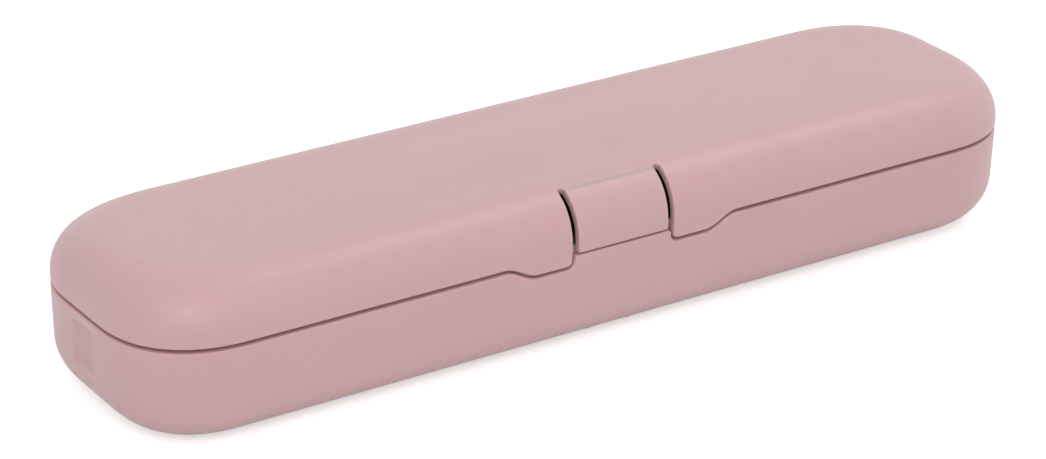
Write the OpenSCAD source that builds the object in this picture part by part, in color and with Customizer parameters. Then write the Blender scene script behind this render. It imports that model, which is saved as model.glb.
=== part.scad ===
// Travel case for an electric toothbrush: a moulded base and a domed lid, hinged at the back,
// with a flexing latch tab between two slits in the lid's front wall.
// +X runs along the case, -Y is the front with the latch, +Z is up.
// The origin is the centre of the flat underside.

/* [Case] */
// Length of the case
case_l = 215; // [205:1:240]
// Width of the case without its hinge, front to back
case_w = 55.5; // [54:0.5:62]
// Height of the closed case
case_h = 35.5; // [35:0.5:40]
// Height of the parting line between base and lid
parting_h = 22; // [21:0.25:23]
// Gap that shows between base and lid
parting_gap = 0.7; // [0.5:0.1:1]
// Reach of a plan corner along the length
corner_reach_x = 22; // [18:1:26]
// Reach of a plan corner along the width
corner_reach_y = 21; // [17:1:23]
// Fullness of the plan corners, where 2 is an ellipse
corner_power = 2.3; // [2:0.1:2.6]

/* [Base] */
// Wall of the base
base_wall = 2.8; // [2.6:0.1:3]
// Floor of the base
base_floor = 2.2; // [1.8:0.1:2.4]
// Width of the rounding along the bottom edge
bottom_round_w = 11; // [9:0.5:12]
// Height of the rounding along the bottom edge
bottom_round_h = 10.5; // [9:0.5:12]
// How much narrower each side of the base is at the bottom
base_draft = 0.5; // [0.2:0.1:0.8]
// Height of the inner lip above the parting line
lip_h = 1.2; // [0.8:0.1:1.3]
// Width of the finger hollow in each end wall
hollow_w = 9; // [6:0.5:11]
// Depth of the finger hollow
hollow_depth = 1.2; // [0.4:0.1:1.2]
// Height of the lower end of the finger hollow
hollow_bottom = 9.5; // [8:0.5:12]
// Height of the upper end of the finger hollow
hollow_top = 20; // [16:0.5:20]

/* [Lid] */
// Wall of the lid
lid_wall = 1.6; // [1.4:0.1:1.7]
// Width of the rounded shoulder
shoulder_w = 10; // [9:0.5:11]
// Height of the rounded shoulder
shoulder_h = 11; // [10:0.25:11.25]
// Fullness of the shoulder, where 2 is an ellipse
shoulder_power = 2.1; // [2:0.1:2.3]
// Rise of the top's crown
crown_h = 0.8; // [0.3:0.1:1.2]
// Clearance between the lid's wall and the base's lip
lip_clearance = 0.3; // [0.25:0.05:0.4]

/* [Latch] */
// Width of the latch tab
tab_w = 21.8; // [18:0.2:24]
// Width of the slit on each side of the tab
slit_w = 1.5; // [1.5:0.1:2.4]
// Place of the tab's root on the shoulder, in degrees from its foot
tab_root_angle = 66; // [60:1:70]
// Gap between the tab's root and the lid
tab_root_gap = 0.12; // [0.1:0.01:0.2]
// Width of the hook inside the tab
hook_w = 11; // [8:0.5:12]
// How far the hook catches behind the base's catch
hook_catch = 0.8; // [0.6:0.1:0.9]
// Thickness of the catch on the base
catch_t = 1.4; // [1.2:0.1:1.6]
// Height of the catch above the parting line
catch_h = 4.6; // [4.5:0.1:4.8]
// How far each ear of the lid dips below the parting line
ear_drop = 2.8; // [2:0.1:3.5]
// Length of an ear's flat lower edge
ear_flat = 8; // [6:0.5:10]
// Length of an ear's curved run-out
ear_run = 8; // [6:0.5:10]
// Rounding of an ear's corner beside the slit
ear_round = 1.2; // [0.8:0.1:1.5]

/* [Hinge] */
// Distance of each hinge from the middle of the case
hinge_x = 55; // [40:1:62]
// Radius of the hinge knuckles
knuckle_r = 2.4; // [2.2:0.1:2.8]
// Length of the base's knuckle
base_knuckle_l = 8; // [6:0.5:10]
// Length of each of the lid's knuckles
lid_knuckle_l = 5; // [4:0.5:6]
// Radius of the hinge pins
pin_r = 1; // [0.8:0.05:1.2]
// Radial clearance of the pins in the lid's knuckles
pin_clearance = 0.05; // [0.03:0.01:0.08]
// Gap beside and around the knuckles
knuckle_gap = 0.3; // [0.25:0.05:0.4]
// Opening angle at which the lid's stops meet the base
open_angle = 120; // [100:5:130]

/* [Tray] */
// Wall of the tray
tray_wall = 1.2; // [1:0.1:1.4]
// Gap between the tray and the base
tray_gap = 0.3; // [0.25:0.05:0.4]
// Distance of the tray's deck below the parting line
deck_drop = 2; // [1.5:0.1:2.5]
// Radius of the handle's trough
trough_r = 14; // [13:0.25:14]
// Length of the handle's trough
trough_l = 187; // [150:1:188]
// Distance of the trough's axis behind the middle of the case
trough_y = 7.6; // [7.2:0.1:7.8]
// Length of each brush head bay
bay_l = 80; // [70:1:80]
// Width of each brush head bay
bay_w = 12.6; // [11:0.1:12.8]
// Depth of each brush head bay
bay_depth = 11; // [8:0.5:11]
// Distance between the two brush head bays
bay_spacing = 24; // [22:0.5:26]
// Radius of the finger notch between the bays
notch_r = 7; // [5:0.5:7]
// Radius of the posts that carry the tray
post_r = 2; // [1.5:0.1:2.2]

/* [Pads] */
// Distance of the soft pads from the middle of the case
pad_x = 50; // [30:1:60]
// Length of each soft pad along the case
pad_l = 8; // [5:0.5:12]
// Thickness of the pads in the trough
trough_pad_t = 0.9; // [0.6:0.1:1]
// Thickness of the pads in the lid
lid_pad_t = 1.2; // [0.8:0.1:1.2]
// Width of the pads in the lid, across the handle
lid_pad_w = 18; // [12:1:18]
// Gap between a pad and its seat
pad_gap = 0.1; // [0.05:0.05:0.15]
// Thickness of the ribs that carry the lid's pads
rib_t = 1.5; // [1:0.1:2]

/* [Hidden] */
case_colour = [0.81, 0.67, 0.68];
tray_colour = [0.86, 0.76, 0.76];
pad_colour = [0.93, 0.91, 0.9];
steel_colour = [0.75, 0.76, 0.78];
// Steps along each plan corner, along the bottom edge and along the shoulder
corner_steps = 12;
edge_steps = 7;
// Shares of the top's size at which the crown has a ring
crown_shares = [0.75, 0.5, 0.25];
// Share of the shoulder's inset that the plan corners lose of their reach across the width
shoulder_keep_y = 0.5;
// How far forms of one piece run into each other, and how far a cut runs past a face
weld = 0.6;
past = 1;

half_l = case_l / 2;
half_w = case_w / 2;
base_rim = parting_h - parting_gap / 2;
lid_rim = parting_h + parting_gap / 2;
shoulder_top = case_h - crown_h;
shoulder_foot = shoulder_top - shoulder_h;
ceiling = shoulder_top - lid_wall;
lip_inset = lid_wall + lip_clearance;

// Latch, seen along X: distances in from the front wall and heights
slit_side = tab_w / 2;
slit_end = slit_side + slit_w;
root_out = shoulder_at(tab_root_angle, 0);
root_in = shoulder_at(tab_root_angle, lid_wall);
root_mid = (root_out + root_in) / 2;
root_run = (root_out - root_in) / norm(root_out - root_in);
root_across = [-root_run[1], root_run[0]];
// Distance from the lip's outer face in to the catch, and the catch's reach below the rim
catch_setback = 0.4;
catch_depth = 4;
catch_inset = lip_inset + catch_setback;
// Height of the bar over the catch's window, and the width of the cheeks beside it
catch_bar_h = 1.3;
catch_cheek_w = 2.8;
window_low = parting_h + lip_h;
window_high = parting_h + catch_h - catch_bar_h;
// Play of the hook in the window: below it, above it and on each side
hook_play_low = 0.3;
hook_play_high = 0.5;
hook_play_side = 0.7;
hook_low = window_low + hook_play_low;
hook_high = window_high - hook_play_high;
hook_tip_h = 0.4;
window_side = hook_w / 2 + hook_play_side;
catch_side = window_side + catch_cheek_w;

// Hinge
hinge_y = half_w + knuckle_r + knuckle_gap;
// Gap between the lid's stop and the base when open, and the stop's height on the wall
stop_gap = 0.1;
stop_h = 1.7;
stop_reach = knuckle_r + knuckle_gap - stop_gap;
// Distance of a pin's ends inside the outer knuckles, and the chamfer on them
pin_end_inset = 0.2;
pin_chamfer = 0.2;
pin_l = base_knuckle_l + 2 * (knuckle_gap + lid_knuckle_l - pin_end_inset);

// Tray
deck_top = parting_h - deck_drop;
deck_bottom = deck_top - tray_wall;
tray_inset = base_wall + tray_gap;
trough_z = base_floor + tray_gap + tray_wall + trough_r;
// Space between the trough's wall and the bays' walls
bay_gap = 0.1;
bay_y = trough_y - trough_r - 2 * tray_wall - bay_gap - bay_w / 2;
bay_x = (bay_spacing + bay_l) / 2;
// Rib that a brush head's neck rests on, and the radius of its slot
rest_t = 1.2;
rest_slot_r = 3;
// Distance from the trough's wall out to the finger notch's middle
notch_out = 1.9;
notch_y = trough_y - trough_r - tray_wall - notch_out;
// Places of the posts: in from the ends, beside the middle and in front of the notch
end_post_inset = 8.5;
end_post_x = half_l - end_post_inset;
front_post_x = 5;
front_post_gap = 1.5;
front_post_y = notch_y - notch_r - post_r - front_post_gap;
// Distance from the trough's axis down to the ends of its pads
pad_reach_z = 4;
pad_inner_r = trough_r - pad_gap - trough_pad_t;
// Least height of the ribs between the ceiling and the lid's pads
rib_least_h = 0.2;
lid_pad_r = ceiling - trough_z - pad_gap - rib_least_h;

// A point of the shoulder's profile, as [inset, height], below the skin by the given depth
function shoulder_at(angle, depth) = [
    shoulder_w - (shoulder_w - depth) * pow(cos(angle), 2 / shoulder_power),
    shoulder_foot + (shoulder_h - depth) * pow(sin(angle), 2 / shoulder_power)
];

// Plan of the case, counter-clockwise: a rectangle with superellipse corners
function plan(a, b, reach_x, reach_y) = [
    for (quarter = [0:3], i = [0:corner_steps])
        let (
            angle = 90 * (quarter % 2 == 0 ? i : corner_steps - i) / corner_steps,
            side_x = quarter == 0 || quarter == 3 ? 1 : -1,
            side_y = quarter < 2 ? 1 : -1
        )
        [
            side_x * (a - reach_x + reach_x * pow(cos(angle), 2 / corner_power)),
            side_y * (b - reach_y + reach_y * pow(sin(angle), 2 / corner_power))
        ]
];

// The plan at a height, as a ring of points in space
function ring(a, b, reach_x, reach_y, z) = [for (p = plan(a, b, reach_x, reach_y)) [p[0], p[1], z]];

// A ring of the base: its corners get tighter as it moves in
function base_ring(inset, z) =
    let (drawn = inset + base_draft * (1 - min(z, parting_h) / parting_h))
    ring(half_l - drawn, half_w - drawn, corner_reach_x - drawn, corner_reach_y - drawn, z);

// A ring of the lid: its corners stay rounder as it moves in
function lid_ring(inset, z) = ring(
    half_l - inset, half_w - inset, corner_reach_x, corner_reach_y - shoulder_keep_y * inset, z
);

// Rise of the crown at a share of the shoulder's last ring: level at its edge and at the middle
function crown_rise(share) = pow(1 - share * share, 2);

// A ring of the lid's top, drawn in to a share of the shoulder's last ring
function crown_ring(share) = ring(
    share * (half_l - shoulder_w),
    share * (half_w - shoulder_w),
    share * corner_reach_x,
    share * (corner_reach_y - shoulder_keep_y * shoulder_w),
    shoulder_top + crown_h * crown_rise(share) / crown_rise(crown_shares[len(crown_shares) - 1])
);

// Rings of the rounded bottom edge, from the underside up, below the skin by the given depths
function bottom_rings(wall, floor_t) = [
    for (i = [0:edge_steps])
        let (angle = 90 * i / edge_steps)
        base_ring(
            bottom_round_w - (bottom_round_w - wall) * sin(angle),
            bottom_round_h - (bottom_round_h - floor_t) * cos(angle)
        )
];

// Rings of the lid's shoulder, from its foot up, below the skin by the given depth
function shoulder_rings(depth) = [
    for (i = [0:edge_steps])
        let (at = shoulder_at(90 * i / edge_steps, depth))
        lid_ring(at[0], at[1])
];

function reversed(list) = [for (i = [len(list) - 1:-1:0]) list[i]];

// Closed solid through a stack of rings with the same number of points
module loft(rings) {
    count = len(rings[0]);
    last = len(rings) - 1;
    sides = [
        for (r = [0:last - 1], i = [0:count - 1])
            let (a = r * count + i, b = r * count + (i + 1) % count)
            each [[a, a + count, b + count], [a, b + count, b]]
    ];
    caps = [
        [for (i = [0:count - 1]) i],
        [for (i = [count - 1:-1:0]) last * count + i]
    ];
    polyhedron([for (r = rings) each r], concat(sides, caps));
}

// Base with its inner lip, as one skin; the lip follows the rounder corners of the lid
module base_skin() {
    loft(concat(
        bottom_rings(0, 0),
        [
            base_ring(0, base_rim),
            lid_ring(lip_inset, base_rim),
            lid_ring(lip_inset, parting_h + lip_h),
            lid_ring(base_wall, parting_h + lip_h)
        ],
        reversed(bottom_rings(base_wall, base_floor))
    ));
}

// Lid without its slits, as one skin
module lid_skin() {
    loft(concat(
        reversed(shoulder_rings(lid_wall)),
        [lid_ring(lid_wall, lid_rim), lid_ring(0, lid_rim)],
        shoulder_rings(0),
        [for (share = crown_shares) crown_ring(share)]
    ));
}

// Prism along X from an outline of [inset, height] points at the front wall
module front_prism(outline, width, x = 0) {
    points = [for (p = outline) [p[0] - half_w, p[1]]];
    translate([x - width / 2, 0, 0])
        rotate([90, 0, 90])
            linear_extrude(width)
                polygon(points);
}

// Outline of the front wall's cut for the tab, ended at the root line moved down by the given gap
function tab_cut(gap) =
    let (
        outer = root_out + past * root_run + gap * root_across,
        inner = root_in - past * root_run + gap * root_across
    )
    [outer, [-past, outer[1]], [-past, lid_rim - past], [lid_wall + past, lid_rim - past], inner];

// Lower edge of an ear, seen from the front, for the side x > 0, grown by the given gap
function ear_edge(grow) = [
    for (angle = [0:15:90])
        [
            slit_end - grow + (ear_round + grow) * (1 - cos(angle)),
            lid_rim - ear_drop + ear_round - (ear_round + grow) * sin(angle)
        ],
    for (share = [0:0.1:1])
        [
            slit_end + ear_flat + ear_run * share,
            lid_rim - grow - ear_drop * (1 + cos(180 * share)) / 2
        ]
];

// Solid of one ear from the front wall's face inwards
module ear(side, depth, top, grow, proud) {
    edge = ear_edge(grow);
    outline = concat([[edge[0][0], top]], edge, [[edge[len(edge) - 1][0], top]]);
    translate([0, depth - half_w, 0])
        rotate([90, 0, 0])
            linear_extrude(depth + proud)
                polygon([for (p = outline) [side * p[0], p[1]]]);
}

// Cylinder along X through the hinge's axis
module hinge_rod(r, length, x) {
    translate([x - length / 2, hinge_y, parting_h])
        rotate([0, 90, 0])
            cylinder(r = r, h = length, $fn = 48);
}

module base_knuckle(x) {
    hinge_rod(knuckle_r, base_knuckle_l, x);
    translate([x - base_knuckle_l / 2, half_w - weld - base_draft, parting_h - knuckle_r])
        cube([base_knuckle_l, knuckle_r + knuckle_gap + weld + base_draft, knuckle_r - parting_gap / 2]);
}

// Lid knuckle with its arm and the corner that meets the base's wall when the lid is open
module lid_knuckle(x) {
    hinge_rod(knuckle_r, lid_knuckle_l, x);
    translate([x - lid_knuckle_l / 2, half_w - weld, lid_rim])
        cube([lid_knuckle_l, knuckle_r + knuckle_gap + weld, knuckle_r - parting_gap / 2]);
    translate([x - lid_knuckle_l / 2, hinge_y, parting_h])
        rotate([open_angle, 0, 0])
            rotate([90, 0, 90])
                linear_extrude(lid_knuckle_l)
                    polygon([[0, 0], [-stop_reach, 0], [-stop_reach, -stop_h], [-stop_h / 2, -knuckle_r]]);
}

module at_both_hinges() {
    for (side = [-1, 1])
        translate([side * hinge_x, 0, 0])
            children();
}

// Upright round-bottomed hollow in an end wall
module end_hollow(side) {
    radius = (hollow_w * hollow_w / 4 + hollow_depth * hollow_depth) / (2 * hollow_depth);
    translate([side * (half_l + radius - hollow_depth), 0, hollow_bottom])
        cylinder(r = radius, h = hollow_top - hollow_bottom, $fn = 96);
}

// Catch inside the front wall, with the window that the tab's hook sits in
module base_catch() {
    outline = [
        [catch_inset, base_rim - catch_depth],
        [catch_inset, parting_h + catch_h],
        [catch_inset + catch_t, parting_h + catch_h],
        [catch_inset + catch_t, base_rim - catch_depth]
    ];
    difference() {
        front_prism(outline, 2 * catch_side);
        translate([-window_side, catch_inset - past - half_w, window_low])
            cube([2 * window_side, catch_t + 2 * past, window_high - window_low]);
    }
}

module tray_posts() {
    low = base_floor - weld;
    spots = [
        [-end_post_x, 0], [end_post_x, 0], [-front_post_x, front_post_y], [front_post_x, front_post_y]
    ];
    for (spot = spots)
        translate([spot[0], spot[1], low])
            cylinder(r = post_r, h = deck_bottom - low, $fn = 32);
}

module base_shell() {
    color(case_colour)
        difference() {
            union() {
                base_skin();
                base_catch();
                tray_posts();
                at_both_hinges() base_knuckle(0);
            }
            for (side = [-1, 1]) {
                ear(side, lip_inset, base_rim + past, parting_gap, past);
                end_hollow(side);
                hinge_rod(pin_r, base_knuckle_l + 2 * past, side * hinge_x);
            }
        }
}

// Ribs under the lid's ceiling, cut to the curve of the pads that they carry
module pad_ribs() {
    for (side = [-1, 1], end = [-1, 1])
        difference() {
            translate([
                side * pad_x + end * (pad_l - rib_t) / 2 - rib_t / 2, trough_y - lid_pad_w / 2, trough_z
            ])
                cube([rib_t, lid_pad_w, ceiling + weld - trough_z]);
            handle_rod(lid_pad_r + pad_gap, pad_l + 2 * past, side * pad_x);
        }
}

// Cylinder along X through the trough's axis
module handle_rod(r, length, x) {
    translate([x - length / 2, trough_y, trough_z])
        rotate([0, 90, 0])
            cylinder(r = r, h = length, $fn = 96);
}

module lid_shell() {
    lid_knuckle_x = base_knuckle_l / 2 + knuckle_gap + lid_knuckle_l / 2;
    color(case_colour)
        difference() {
            union() {
                lid_skin();
                pad_ribs();
                for (side = [-1, 1])
                    ear(side, lid_wall, lid_rim + weld, 0, 0);
                at_both_hinges() {
                    lid_knuckle(-lid_knuckle_x);
                    lid_knuckle(lid_knuckle_x);
                }
            }
            front_prism(tab_cut(0), 2 * slit_end);
            for (side = [-1, 1]) {
                slit_end_hole(side * (slit_side + slit_w / 2));
                hinge_rod(pin_r + pin_clearance, pin_l + 2 * past, side * hinge_x);
            }
        }
}

// Round upper end of a slit, drilled square to the shoulder
module slit_end_hole(x) {
    tilt = atan2(root_run[0], root_run[1]);
    translate([x, root_mid[0] - half_w, root_mid[1]])
        rotate([-tilt, 0, 0])
            cylinder(r = slit_w / 2, h = lid_wall + 2 * past, center = true, $fn = 32);
}

// Tab that flexes outwards about its root, with the hook that holds the case shut
module latch_tab() {
    tip = catch_inset + hook_catch;
    hook = [
        [lid_wall - weld, hook_high],
        [tip, hook_high],
        [tip, hook_high - hook_tip_h],
        [lid_wall, hook_low],
        [lid_wall - weld, hook_low]
    ];
    color(case_colour)
        union() {
            intersection() {
                lid_skin();
                front_prism(tab_cut(tab_root_gap), tab_w);
            }
            front_prism(hook, hook_w);
        }
}

// Straight steel pin along X, with a small chamfer at each end
module hinge_pin(side) {
    half = pin_l / 2;
    thin = pin_r - pin_chamfer;
    color(steel_colour)
        translate([side * hinge_x, hinge_y, parting_h])
            rotate([0, 90, 0])
                rotate_extrude($fn = 48)
                    polygon([
                        [0, -half], [thin, -half], [pin_r, pin_chamfer - half],
                        [pin_r, half - pin_chamfer], [thin, half], [0, half]
                    ]);
}

module hinge_pin_left() {
    hinge_pin(-1);
}

module hinge_pin_right() {
    hinge_pin(1);
}

// Block of one brush head bay, larger by the given wall, up to a height
module bay_form(side, wall, top) {
    low = deck_top - bay_depth - wall;
    translate([side * bay_x - bay_l / 2 - wall, bay_y - bay_w / 2 - wall, low])
        cube([bay_l + 2 * wall, bay_w + 2 * wall, top - low]);
}

// Cross rib in a bay, with the slot that a brush head's neck rests in
module neck_rest(side) {
    low = deck_top - bay_depth - tray_wall / 2;
    high = deck_top - bay_depth / 2;
    difference() {
        translate([side * bay_x - rest_t / 2, bay_y - bay_w / 2 - weld, low])
            cube([rest_t, bay_w + 2 * weld, high - low]);
        translate([side * bay_x - rest_t / 2 - past, bay_y, high])
            rotate([0, 90, 0])
                cylinder(r = rest_slot_r, h = rest_t + 2 * past, $fn = 32);
    }
}

module inner_tray() {
    deck = plan(
        half_l - tray_inset - base_draft,
        half_w - tray_inset - base_draft,
        corner_reach_x - tray_inset,
        corner_reach_y - tray_inset
    );
    color(tray_colour)
        union() {
            difference() {
                union() {
                    translate([0, 0, deck_bottom])
                        linear_extrude(tray_wall)
                            polygon(deck);
                    intersection() {
                        handle_rod(trough_r + tray_wall, trough_l + 2 * tray_wall, 0);
                        translate([-half_l, -half_w, 0])
                            cube([case_l, case_w, deck_top]);
                    }
                    for (side = [-1, 1])
                        bay_form(side, tray_wall, deck_top);
                    translate([0, notch_y, deck_top - bay_depth - tray_wall])
                        cylinder(r = notch_r + tray_wall, h = bay_depth + tray_wall, $fn = 64);
                }
                handle_rod(trough_r, trough_l, 0);
                for (side = [-1, 1])
                    bay_form(side, 0, deck_top + past);
                translate([0, notch_y, deck_top - bay_depth])
                    cylinder(r = notch_r, h = bay_depth + past, $fn = 64);
                translate([-catch_side - tray_gap, -half_w, deck_bottom - past])
                    cube([
                        2 * (catch_side + tray_gap),
                        catch_inset + catch_t + tray_gap,
                        tray_wall + 2 * past
                    ]);
            }
            for (side = [-1, 1])
                neck_rest(side);
        }
}

// Soft strip across the trough's bottom
module trough_pad(side) {
    color(pad_colour)
        intersection() {
            difference() {
                handle_rod(trough_r - pad_gap, pad_l, side * pad_x);
                handle_rod(pad_inner_r, pad_l + 2 * past, side * pad_x);
            }
            translate([side * pad_x - pad_l, trough_y - trough_r, 0])
                cube([2 * pad_l, 2 * trough_r, trough_z - pad_reach_z]);
        }
}

module trough_pad_left() {
    trough_pad(-1);
}

module trough_pad_right() {
    trough_pad(1);
}

// Soft strip under the lid's ribs that holds the handle down
module lid_pad(side) {
    color(pad_colour)
        intersection() {
            difference() {
                handle_rod(lid_pad_r, pad_l, side * pad_x);
                handle_rod(lid_pad_r - lid_pad_t, pad_l + 2 * past, side * pad_x);
            }
            translate([side * pad_x - pad_l, trough_y - lid_pad_w / 2, trough_z])
                cube([2 * pad_l, lid_pad_w, lid_pad_r + past]);
        }
}

module lid_pad_left() {
    lid_pad(-1);
}

module lid_pad_right() {
    lid_pad(1);
}

base_shell();
lid_shell();
latch_tab();
hinge_pin_left();
hinge_pin_right();
inner_tray();
trough_pad_left();
trough_pad_right();
lid_pad_left();
lid_pad_right();
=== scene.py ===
"""Travel case for an electric toothbrush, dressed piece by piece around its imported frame."""
import math

import bmesh
import bpy
import numpy as np
from bpy.props import FloatProperty, FloatVectorProperty, IntProperty, PointerProperty
from mathutils import Matrix, Vector


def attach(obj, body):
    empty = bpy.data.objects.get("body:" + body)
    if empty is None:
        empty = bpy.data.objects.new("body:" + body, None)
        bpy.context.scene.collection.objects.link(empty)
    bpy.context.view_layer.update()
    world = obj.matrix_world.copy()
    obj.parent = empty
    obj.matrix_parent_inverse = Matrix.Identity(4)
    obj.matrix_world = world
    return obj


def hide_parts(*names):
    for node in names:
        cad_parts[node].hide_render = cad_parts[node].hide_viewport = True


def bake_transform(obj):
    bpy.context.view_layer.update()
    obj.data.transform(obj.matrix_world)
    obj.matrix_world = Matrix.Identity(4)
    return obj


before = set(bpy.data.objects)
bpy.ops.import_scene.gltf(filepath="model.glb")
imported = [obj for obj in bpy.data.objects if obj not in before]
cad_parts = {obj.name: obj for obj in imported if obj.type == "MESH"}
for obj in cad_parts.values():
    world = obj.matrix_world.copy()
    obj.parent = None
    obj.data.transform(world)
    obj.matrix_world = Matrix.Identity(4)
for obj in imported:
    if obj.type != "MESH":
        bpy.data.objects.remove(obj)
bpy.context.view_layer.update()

bl_info = {
    "name": "Toothbrush travel case",
    "version": (1, 0, 0),
    "blender": (4, 5, 0),
    "location": "View3D > Sidebar > Travel case",
    "description": "Builds a hinged travel case with a flexing latch tab, and a stage for it",
    "category": "Add Mesh",
}

MM = 0.001
# How far a form runs into the wall that it is moulded with
WELD = 0.6 * MM
# Strength of the even room light, and for each softbox its power in watts, its size and distance
# in metres, and its azimuth and elevation in degrees
ROOM_LIGHT = 0.68
SOFTBOXES = {
    "front softbox": (3.7, 0.6, 1.2, -36, 40),
    "overhead softbox": (1.6, 0.35, 1.0, 79, 58),
}
# How much whiter the floor looks to the camera than the light on it makes it, and how far the
# floor reaches from the middle, in metres
FLOOR_LIFT = 0.5
FLOOR_REACH = 4.0
# Distance between the shells' faint clouds of colour
CLOUD_SIZE = 22 * MM
# Lengths below this count as none
TINY = 0.001 * MM
# Edges of the lofted pieces that bend by more than this stay sharp
SHARP_ANGLE = math.radians(35)


def linear(hex_colour):
    """Turn an sRGB hex colour into linear red, green, blue and alpha."""
    values = [int(hex_colour[i:i + 2], 16) / 255 for i in (1, 3, 5)]
    return [v / 12.92 if v <= 0.04045 else ((v + 0.055) / 1.055) ** 2.4 for v in values] + [1.0]


def length(name, description, size):
    """A length property whose default is given in millimetres."""
    return FloatProperty(name=name, description=description, default=size * MM, unit="LENGTH")


def turn(name, description, degrees):
    """An angle property whose default is given in degrees."""
    return FloatProperty(
        name=name, description=description, default=math.radians(degrees), unit="ROTATION"
    )


def colour(name, description, hex_colour):
    """A colour property whose default is given as sRGB hex."""
    return FloatVectorProperty(
        name=name, description=description, default=linear(hex_colour), size=4,
        min=0, max=1, subtype="COLOR"
    )


class CaseSizes(bpy.types.PropertyGroup):
    """Sizes of the base and the lid."""
    case_length: length("Length", "Length of the case", 215)
    case_width: length("Width", "Width of the case without its hinge", 55.5)
    case_height: length("Height", "Height of the closed case", 35.5)
    parting_height: length("Parting height", "Height of the line between base and lid", 22)
    parting_gap: length("Parting gap", "Gap that shows between base and lid", 0.7)
    reach_x: length("Corner reach, length", "Reach of a plan corner along the length", 22)
    reach_y: length("Corner reach, width", "Reach of a plan corner along the width", 21)
    corner_power: FloatProperty(
        name="Corner fullness", description="Fullness of the plan corners, 2 is an ellipse",
        default=2.3
    )
    bottom_width: length("Bottom rounding, width", "Width of the rounded bottom edge", 11)
    bottom_height: length("Bottom rounding, height", "Height of the rounded bottom edge", 10.5)
    draft: length("Draft", "How much narrower each side of the base is at the bottom", 0.5)
    base_wall: length("Base wall", "Wall of the base", 2.8)
    base_floor: length("Base floor", "Floor of the base", 2.2)
    lip_height: length("Lip height", "Height of the inner lip above the parting line", 1.2)
    lip_clearance: length("Lip clearance", "Clearance between the lid's wall and the lip", 0.3)
    lid_wall: length("Lid wall", "Wall of the lid", 1.6)
    shoulder_width: length("Shoulder width", "Width of the lid's rounded shoulder", 10)
    shoulder_height: length("Shoulder height", "Height of the lid's rounded shoulder", 11)
    shoulder_power: FloatProperty(
        name="Shoulder fullness", description="Fullness of the shoulder, 2 is an ellipse",
        default=2.1
    )
    crown: length("Crown", "Rise of the top's crown", 0.8)
    hollow_width: length("Hollow width", "Width of the hollow in each end wall", 9)
    hollow_depth: length("Hollow depth", "Depth of the hollow in each end wall", 1.2)
    hollow_bottom: length("Hollow bottom", "Height of the hollow's lower end", 9.5)
    hollow_top: length("Hollow top", "Height of the hollow's upper end", 20)
    hollow_rise: FloatProperty(
        name="Hollow rise", description="How steeply the hollow's upper and lower ends rise",
        default=6
    )
    lid_round: length("Lid rim rounding", "Rounding of the lid's lower edge", 0.7)
    base_round: length("Base rim rounding", "Rounding of the base's upper edge", 0.5)
    edge_round: length("Edge rounding", "Rounding of the slits, the tab and the lip", 0.35)


class LatchSizes(bpy.types.PropertyGroup):
    """Sizes of the latch tab, its slits, the ears beside it and the catch."""
    tab_width: length("Tab width", "Width of the latch tab", 21.8)
    slit_width: length("Slit width", "Width of the slit on each side of the tab", 1.5)
    root_angle: turn("Root angle", "Place of the tab's root on the shoulder", 66)
    slit_end_angle: turn("Slit end", "How far a slit's round end runs on past the root", 4.1)
    tab_gap: length("Tab gap", "Gap between the tab's lower edge and the base", 0.45)
    ear_drop: length("Ear drop", "How far an ear dips below the parting line", 2.8)
    ear_flat: length("Ear flat", "Length of an ear's flat lower edge", 8)
    ear_run: length("Ear run", "Length of an ear's curved run-out", 8)
    ear_round: length("Ear rounding", "Rounding of an ear's corner beside the slit", 1.2)
    ear_gap: length("Ear gap", "Gap between an ear and the base", 0.6)
    notch_round: length("Notch rounding", "Rounding of the base's corners beside the tab", 0.8)
    hook_width: length("Hook width", "Width of the hook inside the tab", 11)
    hook_catch: length("Hook catch", "How far the hook reaches behind the catch", 0.8)
    catch_inset: length("Catch inset", "Distance of the catch from the front face", 2.3)
    catch_thickness: length("Catch thickness", "Thickness of the catch", 1.4)
    catch_height: length("Catch height", "Height of the catch above the parting line", 4.6)
    catch_reach: length("Catch reach", "How far the catch runs down inside the base", 4.35)
    catch_bar: length("Catch bar", "Height of the bar over the catch's window", 1.3)
    catch_cheek: length("Catch cheek", "Width of the cheeks beside the window", 2.8)
    window_play: length("Window play", "Play of the hook on each side of the window", 0.7)
    hook_play_low: length("Hook play, below", "Play between the hook and the window's sill", 0.3)
    hook_play_high: length("Hook play, above", "Play between the hook and the window's head", 0.5)
    hook_tip: length("Hook tip", "Height of the upright face at the hook's tip", 0.4)
    hook_round: length("Hook rounding", "Rounding of the hook's edges", 0.12)
    catch_round: length("Catch rounding", "Rounding of the catch's edges", 0.2)


class HingeSizes(bpy.types.PropertyGroup):
    """Sizes of the two hinges at the back."""
    spread: length("Hinge distance", "Distance of each hinge from the middle", 55)
    radius: length("Knuckle radius", "Radius of the knuckles", 2.4)
    base_knuckle: length("Base knuckle", "Length of the base's knuckle", 8)
    lid_knuckle: length("Lid knuckle", "Length of each of the lid's knuckles", 5)
    gap: length("Knuckle gap", "Gap beside and around the knuckles", 0.3)
    pin_radius: length("Pin radius", "Radius of the steel pins", 1)
    pin_clearance: length("Pin clearance", "Radial clearance in the lid's knuckles", 0.05)
    open_angle: turn("Opening angle", "Angle at which the lid's stops meet the base", 120)
    stop_gap: length("Stop gap", "Gap between the stop and the base when open", 0.1)
    stop_height: length("Stop height", "Height of the stop on the base's wall", 1.7)
    edge_round: length("Edge rounding", "Rounding of the knuckles' edges", 0.25)


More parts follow.
